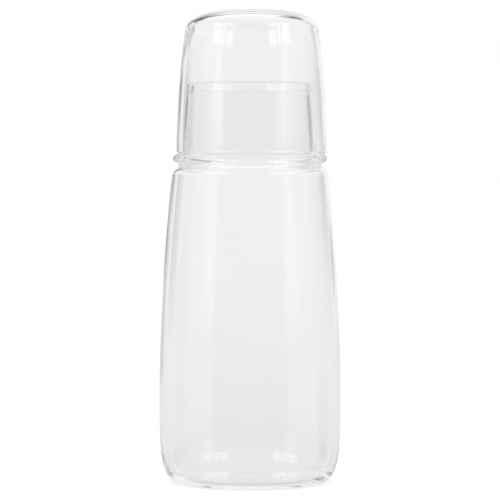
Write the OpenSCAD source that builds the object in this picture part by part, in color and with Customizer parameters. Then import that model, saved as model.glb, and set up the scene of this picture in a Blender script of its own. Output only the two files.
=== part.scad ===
// Bedside carafe with a tumbler turned upside down over its neck.
// Both are thin clear glass, round about the Z axis. The origin is the centre of
// the carafe's foot, on the table, and +Z is up.

/* [Carafe body] */
// Widest diameter of the body
body_d = 90; // [84:1:110]
// Height above the table where the body is widest
belly_z = 46; // [34:1:80]
// Outer diameter of the flat ring that the carafe stands on
foot_d = 63; // [50:1:72]
// Width of that flat ring
foot_land = 3; // [1:0.5:8]
// Squareness of the curve from foot to belly (2 is an ellipse)
heel_power = 3.8; // [2:0.1:6]
// Height where the long taper ends and the shoulder begins
shoulder_z = 151.6; // [110:0.2:230]
// How far the shoulder stands out from the neck ring
shoulder_out = 0.5; // [0:0.1:2]
// Radius of the shoulder's rounding
shoulder_r = 5; // [3:0.5:6]
// Bend of the long taper (1 is straight)
taper_power = 1.7; // [1.2:0.1:3]
// Thickness of the body wall
body_wall = 1.2; // [0.8:0.1:2]
// Thickness of the base
base_t = 2.4; // [1.5:0.1:6]
// Rise of the base's pushed-up middle
punt_h = 1.8; // [0.5:0.1:8]

/* [Neck ring] */
// Thickness of the solid glass ring that carries the tumbler
ring_t = 4.5; // [3:0.1:6]
// How far the ring stands out past the tumbler's rim
ring_proud = 0.9; // [0:0.1:3]
// How far the floor of the groove under the ring stands out from the neck
groove_step = 1.9; // [1:0.1:3]
// Radius of the groove under the ring
groove_r = 1.1; // [0.8:0.1:2]

/* [Neck] */
// Outer diameter of the neck where it leaves the ring
neck_root_d = 66.6; // [56:0.2:70]
// How much narrower the neck is at its lip
neck_taper = 4.4; // [0:0.2:10]
// Bend of the neck's taper (1 is straight)
neck_power = 1.6; // [1:0.1:2]
// Height of the lip above the ring
neck_h = 34.6; // [20:0.2:48]
// Thickness of the neck wall
neck_wall = 1.2; // [0.8:0.1:2]
// Extra glass on each side of the wall at the fire-polished lip
lip_swell = 0.3; // [0:0.05:0.6]
// Length over which the wall thickens to the lip
lip_len = 2.4; // [1:0.1:5]
// Radius between the neck and the ring
neck_fillet = 1; // [0.5:0.1:2]

/* [Tumbler] */
// Height of the tumbler
tumbler_h = 70.3; // [60:0.1:100]
// How much the tumbler narrows from its rim to its heel, in diameter
tumbler_taper = 8.4; // [0:0.2:16]
// Bend of the tumbler's side (1 is straight)
tumbler_power = 2; // [1:0.1:4]
// Height of the tumbler's rounded heel
tumbler_heel_h = 9; // [6:0.5:16]
// Squareness of the tumbler's heel (2 is an ellipse)
tumbler_heel_power = 2.3; // [1.8:0.1:4]
// Diameter of the tumbler's flat foot
tumbler_foot_d = 16; // [10:1:44]
// Thickness of the tumbler's wall
tumbler_wall = 1.1; // [0.8:0.1:2]
// Thickness of the tumbler's wall where it meets the heel
tumbler_heel_t = 2.1; // [1.2:0.1:3]
// How late the wall thickens towards the heel (1 is evenly)
tumbler_thicken = 7; // [2:1:10]
// Thickness of the tumbler's base
tumbler_base_t = 2.2; // [1:0.1:4]

/* [Fit] */
// Room all round between the neck's root and the inside of the tumbler
neck_gap = 2.8; // [1.5:0.1:5]
// How far off centre the loose tumbler has come to rest
tumbler_shift = 0.9; // [0:0.1:1.2]
// Clearance between the ring and the tumbler's rim
seat_gap = 0.3; // [0.1:0.05:0.6]

/* [Hidden] */

glass_tint = [0.92, 0.94, 0.95, 0.45];

// Straight runs that each curve of an outline is made of
heel_steps = 22;
taper_steps = 32;
neck_steps = 22;
round_steps = 12;
small_steps = 6;

// Radii that follow from the neck outwards: neck, tumbler rim, ring, groove, shoulder
neck_root_r = neck_root_d / 2;
neck_in_r = neck_root_r - neck_wall;
tumbler_rim_r = neck_root_r + neck_gap + tumbler_wall;
ring_r = ring_t / 2;
ring_c_r = tumbler_rim_r + ring_proud - ring_r;
groove_c_r = neck_root_r + groove_step + groove_r;
shoulder_edge_r = ring_c_r + ring_r + shoulder_out;
fillet_c_r = neck_root_r + neck_fillet;

// The long taper, from the belly to the shoulder, and how it leans there
body_r = body_d / 2;
taper_h = shoulder_z - belly_z;
taper_in = body_r - shoulder_edge_r;
shoulder_lean = taper_lean(1);

// Centres of the tangent arcs, each one resting on the arc below it
shoulder_c = [
    shoulder_edge_r - shoulder_r * cos(shoulder_lean),
    shoulder_z - shoulder_r * sin(shoulder_lean)
];
groove_c = [groove_c_r, stacked_z(shoulder_c, shoulder_r + groove_r, groove_c_r)];
ring_c = [ring_c_r, stacked_z(groove_c, groove_r + ring_r, ring_c_r)];
fillet_c = [fillet_c_r, stacked_z(ring_c, ring_r + neck_fillet, fillet_c_r)];
ring_top_z = ring_c[1] + ring_r;

// Lip of the neck, a half circle leaning with the wall
lip_r = neck_wall / 2 + lip_swell;
lip_z = ring_top_z + neck_h - lip_r;
lip_run = lip_z - fillet_c[1];
lip_lean = atan(neck_taper / 2 * neck_power / lip_run);
lip_c = [neck_root_r - neck_taper / 2 - neck_wall / 2, lip_z];

// Tumbler's side, seen with its rim at z = 0 and its base up
side_h = tumbler_h - tumbler_heel_h;
side_in = tumbler_taper / 2;
tumbler_foot_r = tumbler_foot_d / 2;
tumbler_z = ring_top_z + seat_gap;

// Height of a centre at radius r whose arc touches the arc below it
function stacked_z(below, reach, r) = below[1] + sqrt(pow(reach, 2) - pow(r - below[0], 2));

// Direction from one point to another, in degrees
function bearing(from, to) = atan2(to[1] - from[1], to[0] - from[0]);

// Points along an arc from angle a to angle b
function arc(c, r, a, b, n) = [
    for (i = [0 : n])
        let (q = a + (b - a) * i / n)
        [c[0] + r * cos(q), c[1] + r * sin(q)]
];

// Smooth step from 0 to 1
function ease(t) = (1 - cos(180 * t)) / 2;

// Lean of the body's wall from upright, in degrees, at share t of the taper
function taper_lean(t) = atan(taper_in / taper_h * taper_power * pow(t, taper_power - 1));

// Point of the body's wall at share t of the taper, sunk by a depth square to the glass
function taper_pt(t, depth) = [
    body_r - taper_in * pow(t, taper_power) - depth * cos(taper_lean(t)),
    belly_z + taper_h * t - depth * sin(taper_lean(t))
];

// Quarter curve from the belly down to the foot ring
function heel(r, floor_z, n) = [
    for (i = [0 : n])
        let (q = 90 * i / n, k = 2 / heel_power, foot_r = foot_d / 2)
        [
            foot_r + (r - foot_r) * pow(sin(q), k),
            belly_z - (belly_z - floor_z) * pow(cos(q), k)
        ]
];

// Pushed-up middle of the base, from the axis out to the foot ring
function punt(floor_z, n) = [
    for (i = [0 : n])
        let (t = i / n)
        [(foot_d / 2 - foot_land) * t, floor_z + punt_h * (1 - ease(t))]
];

// Neck wall: its outside at side 1, its inside at side -1
function neck_pt(z, side) =
    let (
        t = max(0, (z - fillet_c[1]) / lip_run),
        swell = lip_swell * exp(-pow((lip_z - z) / lip_len, 2)),
        mid_r = neck_root_r - neck_wall / 2 - neck_taper / 2 * pow(t, neck_power)
    )
    [mid_r + side * (neck_wall / 2 + swell), z];

function neck(side, n) = [
    for (i = [0 : n - 1])
        neck_pt(fillet_c[1] + lip_run * i / n, side)
];

function flip(pts) = [for (i = [len(pts) - 1 : -1 : 0]) pts[i]];

// Tumbler's side at share t of its height below the heel, sunk square to the glass
function side_slope(t) = side_in / side_h * tumbler_power * pow(t, tumbler_power - 1);

function side_pt(t, depth) =
    let (lean = atan(side_slope(t)))
    [
        tumbler_rim_r - side_in * pow(t, tumbler_power) - depth * cos(lean),
        side_h * t - depth * sin(lean)
    ];

// Thickness of the tumbler's side at share t, growing towards the heel
function side_t(t) = tumbler_wall + (tumbler_heel_t - tumbler_wall) * pow(t, tumbler_thicken);

// Tumbler's heel: a quarter curve that starts along the side and ends level
function tumbler_heel(start, top_z, n) =
    let (
        h = top_z - start[1],
        drift = side_slope(1) * h,
        w = start[0] - tumbler_foot_r - drift,
        k = 2 / tumbler_heel_power
    )
    [
        for (i = [0 : n])
            let (q = 90 * i / n, up = pow(sin(q), k))
            [start[0] - w * (1 - pow(cos(q), k)) - drift * up, start[1] + h * up]
    ];

// Carafe: the outside from the axis up to the lip, then the inside back down
module carafe() {
    shoulder_end = bearing(shoulder_c, groove_c);
    groove_start = bearing(groove_c, shoulder_c) + 360;
    groove_end = bearing(groove_c, ring_c);
    ring_start = bearing(ring_c, groove_c);
    ring_end = bearing(ring_c, fillet_c);
    fillet_start = bearing(fillet_c, ring_c) + 360;
    inner_shoulder_r = shoulder_r - body_wall;
    throat_r = shoulder_c[0] - neck_in_r;
    throat_c = [shoulder_c[0], shoulder_c[1] + inner_shoulder_r + throat_r];
    outside = concat(
        punt(0, small_steps * 2),
        heel(body_r, 0, heel_steps),
        [for (i = [1 : taper_steps - 1]) taper_pt(i / taper_steps, 0)],
        arc(shoulder_c, shoulder_r, shoulder_lean, shoulder_end, round_steps),
        arc(groove_c, groove_r, groove_start, groove_end, small_steps),
        arc(ring_c, ring_r, ring_start, ring_end, round_steps),
        arc(fillet_c, neck_fillet, fillet_start, 180, small_steps),
        neck(1, neck_steps)
    );
    inside = concat(
        punt(base_t, small_steps * 2),
        heel(body_r - body_wall, base_t, heel_steps),
        [for (i = [1 : taper_steps - 1]) taper_pt(i / taper_steps, body_wall)],
        arc(shoulder_c, inner_shoulder_r, shoulder_lean, 90, round_steps),
        arc(throat_c, throat_r, 270, 180, small_steps),
        neck(-1, neck_steps)
    );
    lip = arc(lip_c, lip_r, lip_lean, lip_lean + 180, round_steps);
    color(glass_tint)
        rotate_extrude()
            polygon(concat(outside, lip, flip(inside)));
}

// Tumbler: the outside from the rim up to the axis, then the inside back down
module tumbler() {
    outer_start = side_pt(1, 0);
    inner_start = side_pt(1, tumbler_heel_t);
    top_in = tumbler_h - tumbler_base_t;
    rim_c = [tumbler_rim_r - tumbler_wall / 2, tumbler_wall / 2];
    outside = concat(
        [for (i = [1 : taper_steps - 1]) side_pt(i / taper_steps, 0)],
        tumbler_heel(outer_start, tumbler_h, heel_steps),
        [[0, tumbler_h]]
    );
    inside = concat(
        [
            for (i = [1 : taper_steps - 1])
                let (t = i / taper_steps)
                side_pt(t, side_t(t))
        ],
        tumbler_heel(inner_start, top_in, heel_steps),
        [[0, top_in]]
    );
    rim = arc(rim_c, tumbler_wall / 2, -180, 0, round_steps);
    color(glass_tint)
        translate([tumbler_shift, 0, tumbler_z])
            rotate_extrude()
                polygon(concat(rim, outside, flip(inside)));
}

carafe();
tumbler();
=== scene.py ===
import math

import bpy
import numpy as np
from mathutils import Matrix, Vector


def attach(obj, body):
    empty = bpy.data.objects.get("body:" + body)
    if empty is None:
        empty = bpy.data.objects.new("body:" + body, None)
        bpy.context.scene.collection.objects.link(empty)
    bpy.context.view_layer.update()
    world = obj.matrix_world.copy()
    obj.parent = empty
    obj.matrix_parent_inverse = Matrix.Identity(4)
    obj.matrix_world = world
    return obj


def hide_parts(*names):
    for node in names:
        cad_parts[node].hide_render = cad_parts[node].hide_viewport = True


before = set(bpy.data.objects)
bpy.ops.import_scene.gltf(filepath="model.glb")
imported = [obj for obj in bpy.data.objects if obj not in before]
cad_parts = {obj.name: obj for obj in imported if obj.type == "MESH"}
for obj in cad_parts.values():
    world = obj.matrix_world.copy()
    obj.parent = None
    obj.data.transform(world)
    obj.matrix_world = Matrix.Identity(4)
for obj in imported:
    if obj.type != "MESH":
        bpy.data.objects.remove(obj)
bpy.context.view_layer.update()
millimetre = 0.001
print("frame loaded")

# Points along each stretch of an outline, and round the axis
pointCounts = {
    "base": 16,
    "heel": 44,
    "carafeSide": 48,
    "shoulder": 18,
    "innerShoulder": 14,
    "throat": 8,
    "groove": 12,
    "ring": 24,
    "neckFillet": 8,
    "neck": 30,
    "lip": 18,
    "tumblerRim": 18,
    "tumblerSide": 60,
    "round": 240,
}


# Outlines are runs of (radius, height) points in millimetres

def arcRun(centre, radius, startAngle, endAngle, count):
    # centre + radius * (cos q, sin q), with q running evenly between the two angles
    q = np.radians(np.linspace(startAngle, endAngle, count))
    return np.column_stack((centre[0] + radius * np.cos(q), centre[1] + radius * np.sin(q)))


def bearing(start, end):
    return math.degrees(math.atan2(end[1] - start[1], end[0] - start[0]))


def centreAbove(below, reach, radius):
    # At this radius, (reach^2 - offset^2)^0.5 above the centre below, so that the two arcs touch
    return radius, below[1] + math.sqrt(reach ** 2 - (radius - below[0]) ** 2)


def baseRun(edge, floor, rise, count):
    # Pushed-up base: floor + rise * (1 + cos(pi * t)) / 2, from the axis out to the edge
    t = np.linspace(0, 1, count)
    return np.column_stack((edge * t, floor + rise * (1 + np.cos(math.pi * t)) / 2))


def heelRun(radius, footRadius, floor, belly, power, count):
    # Superellipse quarter: radius grows by sin(q)^(2/power), height sinks by cos(q)^(2/power)
    q = np.linspace(0, math.pi / 2, count)
    grow = np.sin(q) ** (2 / power)
    sink = np.abs(np.cos(q)) ** (2 / power)
    return np.column_stack((footRadius + (radius - footRadius) * grow, belly - (belly - floor) * sink))


# Carafe sizes in millimetres
carafeSizes = {
    "bodyRadius": 45,
    "bellyHeight": 46,
    "footRadius": 31.5,
    "footLand": 3,
    "heelPower": 3.8,
    "shoulderHeight": 151.6,
    "shoulderOut": 0.5,
    "shoulderRadius": 5,
    "taperPower": 1.7,
    "bodyWall": 1.2,
    "baseThickness": 2.4,
    "puntHeight": 1.8,
    "ringThickness": 4.5,
    "ringProud": 0.9,
    "grooveStep": 1.9,
    "grooveRadius": 1.1,
    "neckRootRadius": 33.3,
    "neckTaper": 2.2,
    "neckPower": 1.6,
    "neckHeight": 34.6,
    "neckWall": 1.2,
    "lipSwell": 0.3,
    "lipLength": 2.4,
    "neckFillet": 1,
}

# Tumbler sizes in millimetres, its rim down and its base up
tumblerSizes = {
    "height": 70.3,
    "rimRadius": 37.2,
    "taper": 4.2,
    "power": 2,
    "heelHeight": 9,
    "heelPower": 2.3,
    "footRadius": 8,
    "wall": 1.1,
    "heelThickness": 2.1,
    "thicken": 7,
    "baseThickness": 2.2,
    "seatGap": 0.3,
    "restShift": 0.9,
}


def shoulderEdge(s, rimRadius):
    # The shoulder stands out past the ring, which stands out past the tumbler's rim
    return rimRadius + s["ringProud"] + s["shoulderOut"]


def shoulderLean(s, rimRadius):
    # The taper's slope where it ends: atan(power * drop / rise)
    drop = s["bodyRadius"] - shoulderEdge(s, rimRadius)
    return math.atan(s["taperPower"] * drop / (s["shoulderHeight"] - s["bellyHeight"]))


def carafeCentres(s, rimRadius):
    # Centres of the shoulder, groove, ring and neck fillet, each arc touching the one below it
    ringRadius = s["ringThickness"] / 2
    lean = shoulderLean(s, rimRadius)
    shoulder = (
        shoulderEdge(s, rimRadius) - s["shoulderRadius"] * math.cos(lean),
        s["shoulderHeight"] - s["shoulderRadius"] * math.sin(lean),
    )
    groove = centreAbove(shoulder, s["shoulderRadius"] + s["grooveRadius"],
                         s["neckRootRadius"] + s["grooveStep"] + s["grooveRadius"])
    ring = centreAbove(groove, s["grooveRadius"] + ringRadius, rimRadius + s["ringProud"] - ringRadius)
    fillet = centreAbove(ring, ringRadius + s["neckFillet"], s["neckRootRadius"] + s["neckFillet"])
    return shoulder, groove, ring, fillet


def carafeOutline(s, rimRadius, counts):
    # Outside of the carafe from the axis up to the lip, then its inside back down to the axis
    shoulder, groove, ring, fillet = carafeCentres(s, rimRadius)
    ringRadius = s["ringThickness"] / 2
    drop = s["bodyRadius"] - shoulderEdge(s, rimRadius)
    rise = s["shoulderHeight"] - s["bellyHeight"]

    def taperRun(depth):
        # Radius - drop * t^power, sunk square to the wall by a depth of glass
        t = np.linspace(0, 1, counts["carafeSide"])
        slope = np.arctan(drop / rise * s["taperPower"] * t ** (s["taperPower"] - 1))
        r = s["bodyRadius"] - drop * t ** s["taperPower"] - depth * np.cos(slope)
        return np.column_stack((r, s["bellyHeight"] + rise * t - depth * np.sin(slope)))[1:-1]

    lipRadius = s["neckWall"] / 2 + s["lipSwell"]
    lip = (
        s["neckRootRadius"] - s["neckTaper"] - s["neckWall"] / 2,
        ring[1] + ringRadius + s["neckHeight"] - lipRadius,
    )
    run = lip[1] - fillet[1]
    lipLean = math.degrees(math.atan(s["neckTaper"] * s["neckPower"] / run))

    def neckRun(side):
        # Middle of the wall at root - taper * t^power, its outside at side 1, its inside at side -1,
        # thicker near the lip by swell * exp(-(distance / length)^2)
        t = np.linspace(0, 1, counts["neck"])[:-1]
        z = fillet[1] + run * t
        swell = s["lipSwell"] * np.exp(-((lip[1] - z) / s["lipLength"]) ** 2)
        middle = s["neckRootRadius"] - s["neckWall"] / 2 - s["neckTaper"] * t ** s["neckPower"]
        return np.column_stack((middle + side * (s["neckWall"] / 2 + swell), z))

    lean = math.degrees(shoulderLean(s, rimRadius))
    innerShoulder = s["shoulderRadius"] - s["bodyWall"]
    throatRadius = shoulder[0] - s["neckRootRadius"] + s["neckWall"]
    throat = (shoulder[0], shoulder[1] + innerShoulder + throatRadius)
    land = s["footRadius"] - s["footLand"]
    innerBody = s["bodyRadius"] - s["bodyWall"]
    outside = np.vstack((
        baseRun(land, 0, s["puntHeight"], counts["base"]),
        heelRun(s["bodyRadius"], s["footRadius"], 0, s["bellyHeight"], s["heelPower"], counts["heel"]),
        taperRun(0),
        arcRun(shoulder, s["shoulderRadius"], lean, bearing(shoulder, groove), counts["shoulder"]),
        arcRun(groove, s["grooveRadius"], bearing(groove, shoulder) + 360, bearing(groove, ring),
               counts["groove"])[1:],
        arcRun(ring, ringRadius, bearing(ring, groove), bearing(ring, fillet), counts["ring"])[1:],
        arcRun(fillet, s["neckFillet"], bearing(fillet, ring) + 360, 180, counts["neckFillet"])[1:-1],
        neckRun(1),
    ))
    inside = np.vstack((
        baseRun(land, s["baseThickness"], s["puntHeight"], counts["base"]),
        heelRun(innerBody, s["footRadius"], s["baseThickness"], s["bellyHeight"], s["heelPower"],
                counts["heel"]),
        taperRun(s["bodyWall"]),
        arcRun(shoulder, innerShoulder, lean, 90, counts["innerShoulder"]),
        arcRun(throat, throatRadius, 270, 180, counts["throat"])[1:],
        neckRun(-1),
    ))
    lipRun = arcRun(lip, lipRadius, lipLean, lipLean + 180, counts["lip"])
    return np.vstack((outside, lipRun, inside[::-1]))


def tumblerOutline(s, counts):
    # Inside of the tumbler from its base down to the rim at height 0, then its outside back up
    sideHeight = s["height"] - s["heelHeight"]
    endSlope = s["taper"] / sideHeight * s["power"]

    def sideRun(wall):
        # Rim radius - taper * t^power, sunk square to the wall by the glass,
        # which grows by t^thicken to the heel
        t = np.linspace(0, 1, counts["tumblerSide"])
        depth = wall * (s["wall"] + (s["heelThickness"] - s["wall"]) * t ** s["thicken"])
        slope = np.arctan(endSlope * t ** (s["power"] - 1))
        r = s["rimRadius"] - s["taper"] * t ** s["power"] - depth * np.cos(slope)
        return np.column_stack((r, sideHeight * t - depth * np.sin(slope)))[1:]

    def heelUp(start, top):
        # Superellipse quarter that leaves along the side's slope and ends level at the foot
        q = np.linspace(0, math.pi / 2, counts["heel"])
        up = np.sin(q) ** (2 / s["heelPower"])
        across = np.abs(np.cos(q)) ** (2 / s["heelPower"])
        drift = endSlope * (top - start[1])
        width = start[0] - s["footRadius"] - drift
        return np.column_stack((
            start[0] - width * (1 - across) - drift * up,
            start[1] + (top - start[1]) * up,
        ))[1:]

    def wallUp(wall, top):
        # The outside is the wall at depth 0, the inside the wall at its full depth, 1
        side = sideRun(wall)
        footShares = np.array([2 / 3, 1 / 3, 0])
        foot = np.column_stack((s["footRadius"] * footShares, np.full_like(footShares, top)))
        return np.vstack((side, heelUp(side[-1], top), foot))

    half = s["wall"] / 2
    rim = arcRun((s["rimRadius"] - half, half), half, -180, 0, counts["tumblerRim"])
    inside = wallUp(1, s["height"] - s["baseThickness"])
    return np.vstack((inside[::-1], rim, wallUp(0, s["height"])))


def tumblerPlace(carafe, tumbler):
    # Its rim clears the top of the carafe's ring by the seat gap, a little off the axis
    ring = carafeCentres(carafe, tumbler["rimRadius"])[2]
    ringTop = ring[1] + carafe["ringThickness"] / 2
    return Vector((tumbler["restShift"], 0, ringTop + tumbler["seatGap"])) * millimetre


# Slow waves of hand-blown glass: (lobes round the axis, length along the wall, depth), in millimetres
blowing = {
    "carafeWaves": ((2, 170, 0.02), (3, -90, 0.01), (5, 60, 0.005)),
    "carafeSeed": 5,
    "tumblerWaves": ((2, 120, 0.03), (3, -70, 0.015), (4, 45, 0.006)),
    "tumblerSeed": 9,
    "fadeRadius": 30,
    "fadePower": 3,
}


def waveDepth(r, along, u, waves, seed):
    # Sum of depth * (2 + sin(lobes * u + 2 pi * along / length + start)), fading out towards the axis.
    # The 2 keeps the glass inside its outline
    starts = np.random.default_rng(seed).uniform(0, 2 * math.pi, len(waves))
    fade = np.clip(r / blowing["fadeRadius"], 0, 1) ** blowing["fadePower"]
    return fade * sum(
        depth * (2 + np.sin(lobes * u + 2 * math.pi * along / length + start))
        for (lobes, length, depth), start in zip(waves, starts)
    )


def turnedFaces(rowCount, segments):
    # Quads between neighbouring rows, then a fan of triangles from each end row to its pole
    here = np.arange(segments)
    following = (here + 1) % segments
    row = np.arange(rowCount - 1)[:, None] * segments
    above = row + segments
    quads = np.stack((row + here, row + following, above + following, above + here), axis=2)
    pole = rowCount * segments
    lastRow = pole - segments
    first = np.stack((np.full(segments, pole), following, here), axis=1)
    last = np.stack((np.full(segments, pole + 1), lastRow + here, lastRow + following), axis=1)
    return quads.reshape(-1, 4).tolist() + first.tolist() + last.tolist()


def addObject(name, data):
    thing = bpy.data.objects.new(name, data)
    bpy.context.scene.collection.objects.link(thing)
    return thing


def turnedGlass(name, outline, waves, seed, segments):
    # An outline of (r, z) points carried round the Z axis: (r cos u, r sin u, z)
    distance = np.cumsum(np.hypot(*np.diff(outline, axis=0).T))
    rows, along = outline[1:-1], distance[:-1, None]
    u = np.linspace(0, 2 * math.pi, segments, endpoint=False)
    r = rows[:, :1] - waveDepth(rows[:, :1], along, u, waves, seed)
    z = rows[:, 1:] + np.zeros_like(r)
    grid = np.stack((r * np.cos(u), r * np.sin(u), z), axis=2).reshape(-1, 3)
    poles = np.array([[0, 0, outline[0, 1]], [0, 0, outline[-1, 1]]])
    mesh = bpy.data.meshes.new(name)
    points = np.vstack((grid, poles)) * millimetre
    mesh.from_pydata(points.tolist(), [], turnedFaces(len(rows), segments))
    mesh.shade_smooth()
    return addObject(name, mesh)


carafeGlass = turnedGlass(
    "carafe_glass", carafeOutline(carafeSizes, tumblerSizes["rimRadius"], pointCounts),
    blowing["carafeWaves"], blowing["carafeSeed"], pointCounts["round"])
tumblerGlass = turnedGlass(
    "tumbler_glass", tumblerOutline(tumblerSizes, pointCounts),
    blowing["tumblerWaves"], blowing["tumblerSeed"], pointCounts["round"])
tumblerGlass.data.transform(Matrix.Translation(tumblerPlace(carafeSizes, tumblerSizes)))
print("glass turned")


def emptyTree(owner):
    owner.use_nodes = True
    owner.node_tree.nodes.clear()
    return owner.node_tree


def addNode(tree, kind, values=None, **settings):
    node = tree.nodes.new(kind)
    for key, value in settings.items():
        setattr(node, key, value)
    for key, value in (values or {}).items():
        node.inputs[key].default_value = value
    return node


def feed(tree, source, target):
    # A number is set on the socket, and another node's output is linked to it
    if isinstance(source, (int, float)):
        target.default_value = source
    else:
        tree.links.new(source, target)


def calc(tree, operation, *values):
    node = addNode(tree, "ShaderNodeMath", operation=operation)
    for value, socket in zip(values, node.inputs):
        feed(tree, value, socket)
    return node.outputs[0]


def blend(tree, mask, first, second):
    node = addNode(tree, "ShaderNodeMix", data_type="FLOAT")
    feed(tree, mask, node.inputs["Factor"])
    feed(tree, first, node.inputs["A"])
    feed(tree, second, node.inputs["B"])
    return node.outputs[0]


# Glass finish
glassFinish = {
    "colour": (0.995, 0.996, 0.996, 1),
    "ior": 1.47,
    "lampsThrough": (0.95, 0.955, 0.955, 1),
    "rippleScale": 70.0,
    "rippleStretch": (1, 1, 0.35),
    "rippleDetail": 1,
    "rippleRoughness": 0.4,
    "rippleDepth": 0.00003,
}


def makeRipples(finish):
    # Faint upright ripples left by blowing: height = depth * noise(scale * place * stretch)
    group = bpy.data.node_groups.new("blownRipples", "ShaderNodeTree")
    group.interface.new_socket("Scale", in_out="INPUT", socket_type="NodeSocketFloat")
    group.interface.new_socket("Depth", in_out="INPUT", socket_type="NodeSocketFloat")
    group.interface.new_socket("Height", in_out="OUTPUT", socket_type="NodeSocketFloat")
    entry = addNode(group, "NodeGroupInput")
    result = addNode(group, "NodeGroupOutput")
    place = addNode(group, "ShaderNodeTexCoord")
    stretch = addNode(group, "ShaderNodeMapping", {"Scale": finish["rippleStretch"]})
    noise = addNode(group, "ShaderNodeTexNoise", {
        "Detail": finish["rippleDetail"],
        "Roughness": finish["rippleRoughness"],
    })
    feed(group, place.outputs["Object"], stretch.inputs["Vector"])
    feed(group, stretch.outputs[0], noise.inputs["Vector"])
    feed(group, entry.outputs["Scale"], noise.inputs["Scale"])
    height = calc(group, "MULTIPLY", noise.outputs[0], entry.outputs["Depth"])
    feed(group, height, result.inputs["Height"])
    return group


def makeGlass(name, finish, ripples):
    # Clear glass that lets the lamps' light through to the floor
    material = bpy.data.materials.new(name)
    tree = emptyTree(material)
    glass = addNode(tree, "ShaderNodeBsdfPrincipled", {
        "Base Color": finish["colour"],
        "Metallic": 0,
        "Roughness": 0,
        "IOR": finish["ior"],
        "Transmission Weight": 1,
    })
    ripple = addNode(tree, "ShaderNodeGroup", {
        "Scale": finish["rippleScale"],
        "Depth": finish["rippleDepth"],
    }, node_tree=ripples)
    bump = addNode(tree, "ShaderNodeBump", {"Distance": 1})
    feed(tree, ripple.outputs["Height"], bump.inputs["Height"])
    feed(tree, bump.outputs[0], glass.inputs["Normal"])
    clear = addNode(tree, "ShaderNodeBsdfTransparent", {"Color": finish["lampsThrough"]})
    path = addNode(tree, "ShaderNodeLightPath")
    mix = addNode(tree, "ShaderNodeMixShader")
    output = addNode(tree, "ShaderNodeOutputMaterial")
    feed(tree, path.outputs["Is Shadow Ray"], mix.inputs[0])
    feed(tree, glass.outputs[0], mix.inputs[1])
    feed(tree, clear.outputs[0], mix.inputs[2])
    feed(tree, mix.outputs[0], output.inputs["Surface"])
    return material


blownRipples = makeRipples(glassFinish)
carafeGlass.data.materials.append(makeGlass("carafeClearGlass", glassFinish, blownRipples))
tumblerGlass.data.materials.append(makeGlass("tumblerClearGlass", glassFinish, blownRipples))

for piece, body, slot in (
    (carafeGlass, "carafe", "carafe_glass"),
    (tumblerGlass, "tumbler", "tumbler_glass"),
):
    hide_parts(body)
    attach(piece, body)
print("glass finished")


# Studio: a pale floor, a soft lamp and a white room
studio = {
    "floorRadius": 3.0,
    "floorSides": 96,
    "floorColour": (0.8, 0.8, 0.8, 1),
    "floorGlow": 0.45,
    "plainLight": 0.8,  # falls on the object from all round
    "seenThrough": 0.93,  # what the glass shows behind it, under seenParts
    "room": 0.92,  # what the glass mirrors, under roomParts
    "lampPlace": (-0.9, -0.7, 1.1),
    "lampAim": (0, 0, 0.1),
    "lampSide": 0.8,
    "lampPower": 4,
    "cameraPlace": (0, -1.236, 0.144),
    "cameraAim": (0, 0, 0.1146),
    "lens": 180,
    "sensor": 36,
    "bounces": 256,
}

# What the glass mirrors, as (from azimuth, to azimuth, from height, to height, softness, brightness).
# Angles are in degrees, azimuth runs from +Y towards +X, and later parts lie over earlier ones
roomParts = {
    "ceiling": (-200, 200, 38, 91, 10, 1.15),
    "leftWall": (-200, -44, -91, 12, 10, 0.56),
    "rightWall": (43, 200, -91, 14, 8, 0.55),
    # Dark side of the room, behind the camera, narrower lower down
    "darkCameraSide": (119, 241, 2, 36, 7, 0.45),
    "darkCameraMiddle": (123, 237, -1.5, 2.5, 12, 0.45),
    "darkCameraLow": (131, 229, -3, 0, 5, 0.5),
    "darkCameraFoot": (144, 216, -4.4, -2, 4, 0.52),
    "darkCameraTip": (158, 202, -6.4, -4.3, 4, 0.58),
    # Pale patches and light boxes to both sides of the camera
    "leftGlow": (-132, -114, 2, 12, 7, 0.95),
    "rightGlow": (114, 132, 2, 12, 7, 0.95),
    "leftGlowTop": (-127, -119, 11, 20, 4, 1.5),
    "rightGlowTop": (119, 127, 11, 20, 4, 1.5),
    "leftBoxOuter": (-120, -104, 22, 33, 4, 3.4),
    "leftBoxMiddle": (-130, -122, 22, 34, 3, 3.4),
    "leftBoxInner": (-145, -132, 22, 33, 4, 3.4),
    "rightBoxOuter": (105, 121, 22, 33, 4, 3.4),
    "rightBoxMiddle": (124, 132, 22, 34, 3, 3.4),
    "rightBoxInner": (134, 148, 22, 33, 4, 3.4),
    # Dark cards beyond the glass, which give it dark edges
    "leftArch": (-34, -17, 2, 6, 3, 0.3),
    "leftArchUpper": (-28, -17, 8, 24, 3, 0.25),
    "leftCorner": (-36, -7, 23, 37, 4, 0.06),
    "topEdge": (-10, 18, 31, 35, 1.5, 0.3),
    "rightCorner": (15, 38, 33, 50, 4, 0.12),
    "rightArch": (36, 48, 8, 34, 6, 0.6),
    "neckCardLeft": (-63, -46, 0.8, 8.5, 5, 0.05),
    "neckCardRight": (46, 60, 2.5, 8.5, 4, 0.12),
    "farCardRight": (62, 84, 2.5, 8, 4, 0.32),
    # The table, then what stands on it and beyond it
    "table": (-130, 130, -91, -1.5, 3, 0.8),
    "tableNear": (-200, 200, -91, -11, 3, 0.8),
    "underTable": (-200, 200, -91, -30, 12, 0.68),
    "lowCardRight": (64, 83, -8, -2, 9, 0.42),
    "lowCardRightFoot": (65, 81, -15, -8, 7, 0.33),
    "farCentre": (-6, 6, -14, 20, 4, 0.82),
    "edgeCard": (-18, -6, -1.2, 1.5, 1.5, 0.25),
    "edgeCardRight": (24, 37, -0.6, 1.6, 1.5, 0.55),
    "edgeCardLow": (-36, -17, -4, 1.3, 1.5, 0.62),
}

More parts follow.
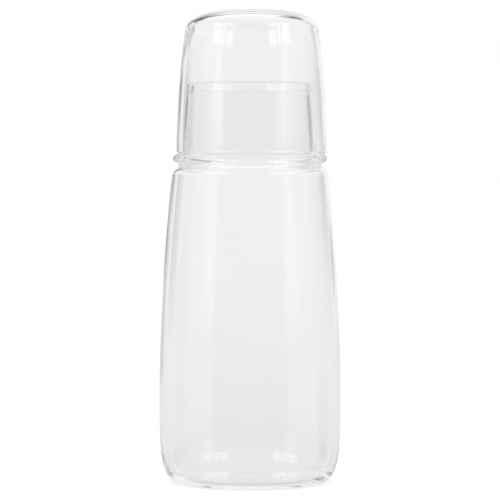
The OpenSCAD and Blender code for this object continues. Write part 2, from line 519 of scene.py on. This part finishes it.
# What is seen straight through the glass, given the same way
seenParts = {
    "lowerWall": (-200, 200, -91, -4, 5, 0.84),
    "underWall": (-200, 200, -91, -9, 4, 0.8),
    "leftUpper": (-32, -11, 9, 91, 3, 0.3),
    "rightUpper": (14, 32, 9, 91, 3, 0.6),
    "rightStrip": (9, 13, -1, 5, 2, 0.62),
}


def softStep(tree, value, edge, softness):
    # 0 below edge - softness / 2, 1 above edge + softness / 2
    node = addNode(tree, "ShaderNodeMapRange", {
        "From Min": edge - softness / 2,
        "From Max": edge + softness / 2,
    }, interpolation_type="SMOOTHSTEP")
    feed(tree, value, node.inputs["Value"])
    return node.outputs[0]


def softBand(tree, value, start, end, softness):
    # 1 between start and end, 0 outside them
    risen = softStep(tree, value, start, softness)
    return calc(tree, "SUBTRACT", risen, softStep(tree, value, end, softness))


def paintParts(tree, shade, parts, azimuth, fullTurn, height):
    # A part that runs past 180 degrees, behind the camera, is placed on fullTurn, from 0 to 360
    for fromAzimuth, toAzimuth, low, high, softness, brightness in parts.values():
        turn = fullTurn if fromAzimuth > 0 and toAzimuth > 180 else azimuth
        mask = calc(tree, "MULTIPLY", softBand(tree, turn, fromAzimuth, toAzimuth, softness),
                    softBand(tree, height, low, high, softness))
        shade = blend(tree, mask, shade, brightness)
    return shade


def paintWorld(s, reflectedParts, throughParts):
    world = bpy.data.worlds.new("studioRoom")
    tree = emptyTree(world)
    place = addNode(tree, "ShaderNodeTexCoord")
    axes = addNode(tree, "ShaderNodeSeparateXYZ")
    feed(tree, place.outputs["Generated"], axes.inputs[0])
    x, y, z = axes.outputs
    degrees = 180 / math.pi
    azimuth = calc(tree, "MULTIPLY", calc(tree, "ARCTAN2", x, y), degrees)
    fullTurn = calc(tree, "ADD", azimuth, calc(tree, "MULTIPLY", calc(tree, "LESS_THAN", azimuth, 0), 360))
    height = calc(tree, "MULTIPLY", calc(tree, "ARCSINE", z), degrees)
    room = paintParts(tree, s["room"], reflectedParts, azimuth, fullTurn, height)
    through = paintParts(tree, s["seenThrough"], throughParts, azimuth, fullTurn, height)

    # Glossy Depth counts how often a ray was mirrored, and the camera sees white behind the object
    path = addNode(tree, "ShaderNodeLightPath")
    reflected = calc(tree, "GREATER_THAN", path.outputs["Glossy Depth"], 0.5)
    strength = blend(tree, path.outputs["Is Transmission Ray"], s["plainLight"], through)
    strength = blend(tree, reflected, strength, room)
    strength = blend(tree, path.outputs["Is Camera Ray"], strength, 1.0)
    sky = addNode(tree, "ShaderNodeBackground", {"Color": (1, 1, 1, 1)})
    output = addNode(tree, "ShaderNodeOutputWorld")
    feed(tree, strength, sky.inputs["Strength"])
    feed(tree, sky.outputs[0], output.inputs["Surface"])
    bpy.context.scene.world = world


def layFloor(s):
    # A disc of pale paper that glows a little where it is seen and keeps the glass's shadow
    u = np.linspace(0, 2 * math.pi, s["floorSides"], endpoint=False)
    rim = np.column_stack((np.cos(u), np.sin(u), 0 * u)) * s["floorRadius"]
    mesh = bpy.data.meshes.new("floor")
    mesh.from_pydata(rim.tolist(), [], [list(range(len(u)))])
    material = bpy.data.materials.new("palePaper")
    tree = emptyTree(material)
    paper = addNode(tree, "ShaderNodeBsdfDiffuse", {"Color": s["floorColour"]})
    glow = addNode(tree, "ShaderNodeEmission", {"Color": (1, 1, 1, 1)})
    path = addNode(tree, "ShaderNodeLightPath")
    inGlass = calc(tree, "MAXIMUM", path.outputs["Is Glossy Ray"], path.outputs["Is Transmission Ray"])
    seen = calc(tree, "MAXIMUM", path.outputs["Is Camera Ray"], inGlass)
    both = addNode(tree, "ShaderNodeAddShader")
    output = addNode(tree, "ShaderNodeOutputMaterial")
    feed(tree, calc(tree, "MULTIPLY", seen, s["floorGlow"]), glow.inputs["Strength"])
    feed(tree, paper.outputs[0], both.inputs[0])
    feed(tree, glow.outputs[0], both.inputs[1])
    feed(tree, both.outputs[0], output.inputs["Surface"])
    mesh.materials.append(material)
    floor = addObject("floor", mesh)
    floor.visible_glossy = False
    floor.visible_transmission = False


def aimAt(thing, place, target):
    thing.location = place
    direction = Vector(target) - thing.location
    thing.rotation_euler = direction.to_track_quat("-Z", "Y").to_euler()


def addCamera(s):
    lens = bpy.data.cameras.new("camera")
    lens.lens = s["lens"]
    lens.sensor_width = s["sensor"]
    camera = addObject("camera", lens)
    aimAt(camera, s["cameraPlace"], s["cameraAim"])
    bpy.context.scene.camera = camera


def addLamp(s):
    light = bpy.data.lights.new("softLampLeft", "AREA")
    light.size = s["lampSide"]
    light.energy = s["lampPower"]
    lamp = addObject("softLampLeft", light)
    aimAt(lamp, s["lampPlace"], s["lampAim"])
    lamp.visible_camera = lamp.visible_glossy = lamp.visible_transmission = False


paintWorld(studio, roomParts, seenParts)
layFloor(studio)
addCamera(studio)
addLamp(studio)
scene = bpy.context.scene
scene.view_settings.view_transform = "Standard"
scene.cycles.max_bounces = studio["bounces"]
scene.cycles.glossy_bounces = studio["bounces"]
scene.cycles.transmission_bounces = studio["bounces"]
print("studio ready")
